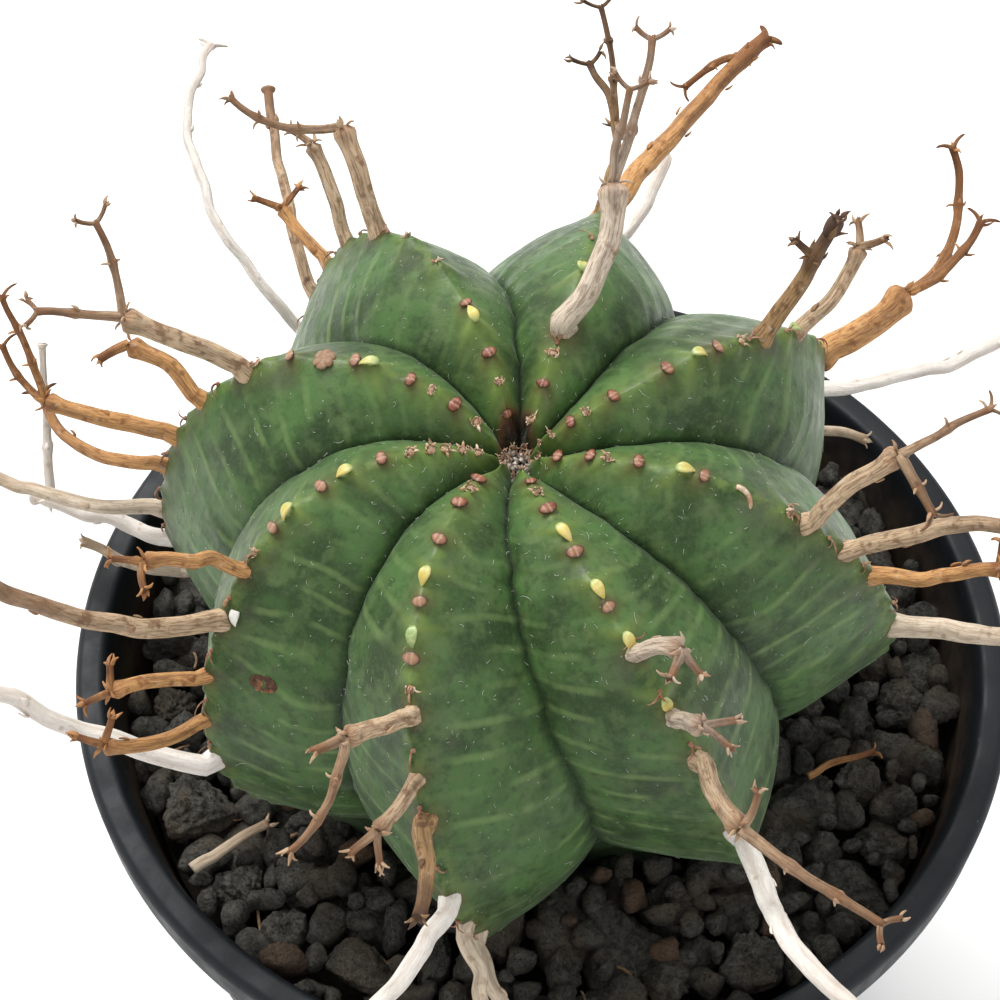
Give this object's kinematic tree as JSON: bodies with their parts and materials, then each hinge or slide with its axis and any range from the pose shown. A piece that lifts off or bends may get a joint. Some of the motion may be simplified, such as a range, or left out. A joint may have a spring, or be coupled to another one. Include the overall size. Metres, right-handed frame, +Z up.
{
  "type": "potted euphorbia",
  "caption": "Squat ribbed green succulent with dry flower stalks, growing in dark lava grit in a round tapered nursery pot.",
  "frame": {"origin": "centre of the pot's flat underside", "axes": "+Z up through the pot, -Y towards the plant's front rib, +X to its right"},
  "size_m": [0.1134, 0.1224, 0.134],
  "materials": {
    "pot_plastic": "moulded black plastic with a soft satin sheen",
    "lava_grit": "loose porous lava grit",
    "green_skin": "living green skin, waxy, faintly banded across the ribs",
    "brown_stalk": "dry brown woody flower stalk, matt and wrinkled",
    "pale_stalk": "weathered pale flower stalk, matt",
    "lava_stone": "porous dark lava"
  },
  "bodies": {
    "root": {"fallen_twig_1": "brown_stalk", "fallen_twig_2": "brown_stalk", "flower_stalk_a1": "brown_stalk", "flower_stalk_a2": "brown_stalk", "flower_stalk_a3": "brown_stalk", "flower_stalk_a4": "pale_stalk", "flower_stalk_a5": "pale_stalk", "flower_stalk_a6": "pale_stalk", "flower_stalk_b1": "brown_stalk", "flower_stalk_b2": "brown_stalk", "flower_stalk_b3": "brown_stalk", "flower_stalk_b4": "pale_stalk", "flower_stalk_c1": "brown_stalk", "flower_stalk_c2": "brown_stalk", "flower_stalk_c3": "brown_stalk", "flower_stalk_c4": "pale_stalk", "flower_stalk_d1": "brown_stalk", "flower_stalk_d2": "brown_stalk", "flower_stalk_d3": "brown_stalk", "flower_stalk_d4": "pale_stalk", "flower_stalk_d5": "pale_stalk", "flower_stalk_e1": "brown_stalk", "flower_stalk_e2": "brown_stalk", "flower_stalk_e3": "pale_stalk", "flower_stalk_e4": "brown_stalk", "flower_stalk_f1": "brown_stalk", "flower_stalk_f2": "brown_stalk", "flower_stalk_f3": "brown_stalk", "flower_stalk_f4": "brown_stalk", "flower_stalk_f5": "pale_stalk", "flower_stalk_g1": "brown_stalk", "flower_stalk_g2": "brown_stalk", "flower_stalk_g3": "brown_stalk", "flower_stalk_g4": "brown_stalk", "flower_stalk_g5": "pale_stalk", "flower_stalk_g6": "pale_stalk", "flower_stalk_g7": "pale_stalk", "flower_stalk_h1": "brown_stalk", "flower_stalk_h2": "brown_stalk", "flower_stalk_h3": "brown_stalk", "flower_stalk_h4": "brown_stalk", "flower_stalk_h5": "pale_stalk", "lava_stone_1": "lava_stone", "lava_stone_10": "lava_stone", "lava_stone_11": "lava_stone", "lava_stone_12": "lava_stone", "lava_stone_2": "lava_stone", "lava_stone_3": "lava_stone", "lava_stone_4": "lava_stone", "lava_stone_5": "lava_stone", "lava_stone_6": "lava_stone", "lava_stone_7": "lava_stone", "lava_stone_8": "lava_stone", "lava_stone_9": "lava_stone", "pot": "pot_plastic", "potting_mix": "lava_grit", "stem_body": "green_skin"}
  },
  "joints": []
}
